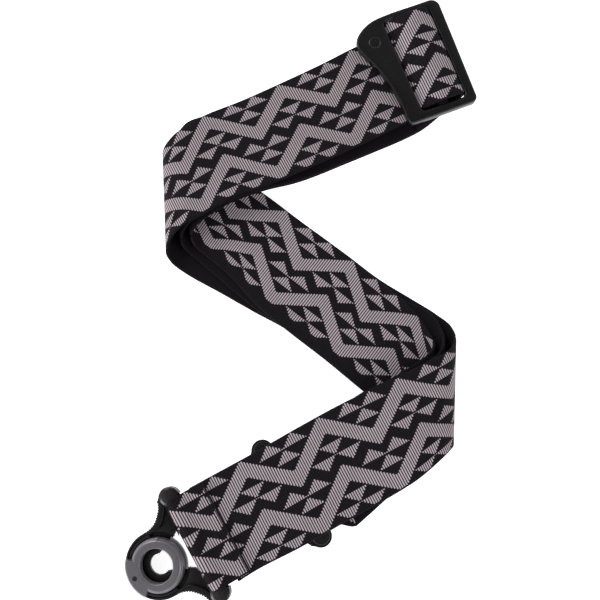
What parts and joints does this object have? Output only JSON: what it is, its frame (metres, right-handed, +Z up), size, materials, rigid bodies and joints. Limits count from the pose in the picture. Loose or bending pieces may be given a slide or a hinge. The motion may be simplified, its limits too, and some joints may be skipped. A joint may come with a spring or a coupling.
{
  "type": "guitar strap",
  "caption": "Adjustable woven guitar strap folded in a zigzag, with a webbing slider and a locking strap end with keyhole and twist ring at each end.",
  "frame": {"origin": "on the underside of the middle run, on the plane the strap lies on", "axes": "+Z up from that plane, +Y across the three runs from the lock ends to the slider, +X from the fold under the upper run to the fold under the lower run"},
  "size_m": [0.175, 0.305, 0.0164],
  "materials": {
    "webbing": "woven jacquard, light and dark thread",
    "webbing_back": "plain ribbed weave",
    "moulding": "satin moulded",
    "lock_ring": "gunmetal satin",
    "steel": "satin",
    "spring": "satin",
    "thread": "sewing thread"
  },
  "bodies": {
    "middle_run": {"strap_main_middle": "webbing", "strap_return_middle": "webbing_back", "strap_loop_middle": "webbing"},
    "upper_run": {"strap_main_upper": "webbing", "strap_return_upper": "webbing_back", "strap_loop_upper": "webbing"},
    "slider": {"slider_frame": "moulding", "strap_slider_turn": "webbing", "strap_sewn_loop": "webbing_back"},
    "lower_run": {"strap_main_lower": "webbing", "strap_return_lower": "webbing_back", "strap_loop_lower": "webbing", "end_tab_a": "webbing", "end_tab_a_stitching": "thread", "strap_crossbar_turn": "webbing"},
    "lock_a": {"lock_a_yoke": "moulding", "lock_a_crossbar": "steel", "lock_a_back_cover": "moulding", "lock_a_cover_screw_1": "steel", "lock_a_cover_screw_2": "steel", "lock_a_cover_screw_3": "steel", "lock_a_retaining_ring": "steel", "lock_a_spring": "spring"},
    "lock_a_ring_body": {"lock_a_ring": "lock_ring", "lock_a_gate": "steel"},
    "lock_b": {"lock_b_yoke": "moulding", "lock_b_crossbar": "steel", "lock_b_back_cover": "moulding", "lock_b_cover_screw_1": "steel", "lock_b_cover_screw_2": "steel", "lock_b_cover_screw_3": "steel", "lock_b_retaining_ring": "steel", "lock_b_spring": "spring"},
    "lock_b_ring_body": {"lock_b_ring": "lock_ring", "lock_b_gate": "steel"}
  },
  "joints": [
    {"name": "upper_fold", "type": "hinge", "parent": "middle_run", "child": "upper_run", "pos_m": [-0.06945, 0.0505, 0.0068], "axis": [0.0684, -0.9966, 0.0449], "range_deg": [0, 170]},
    {"name": "lower_fold", "type": "hinge", "parent": "middle_run", "child": "lower_run", "pos_m": [0.0761, -0.0465, 0.0076], "axis": [0.0528, 0.9986, 0.0057], "range_deg": [0, 170]},
    {"name": "slider_adjust", "type": "slide", "parent": "upper_run", "child": "slider", "axis": [0.9367, 0.3502, 0], "range_m": [-0.004, 0.008]},
    {"name": "lock_a_swing", "type": "hinge", "parent": "lower_run", "child": "lock_a", "pos_m": [-0.04914, -0.11881, 0.011], "axis": [-0.4939, 0.8695, 0], "range_deg": [-75, 100]},
    {"name": "lock_a_ring_turn", "type": "hinge", "parent": "lock_a", "child": "lock_a_ring_body", "pos_m": [-0.06633, -0.12858, 0.00355], "axis": [-0.1837, -0.1044, 0.9774], "range_deg": [0, 75]},
    {"name": "lock_b_swing", "type": "hinge", "parent": "lower_run", "child": "lock_b", "pos_m": [-0.0036, -0.0953, 0.0051], "axis": [-0.5736, 0.8192, 0], "range_deg": [-80, 0]},
    {"name": "lock_b_ring_turn", "type": "hinge", "parent": "lock_b", "child": "lock_b_ring_body", "pos_m": [-0.02072, -0.10729, 0.0082], "axis": [0, 0, -1], "range_deg": [0, 75]}
  ]
}
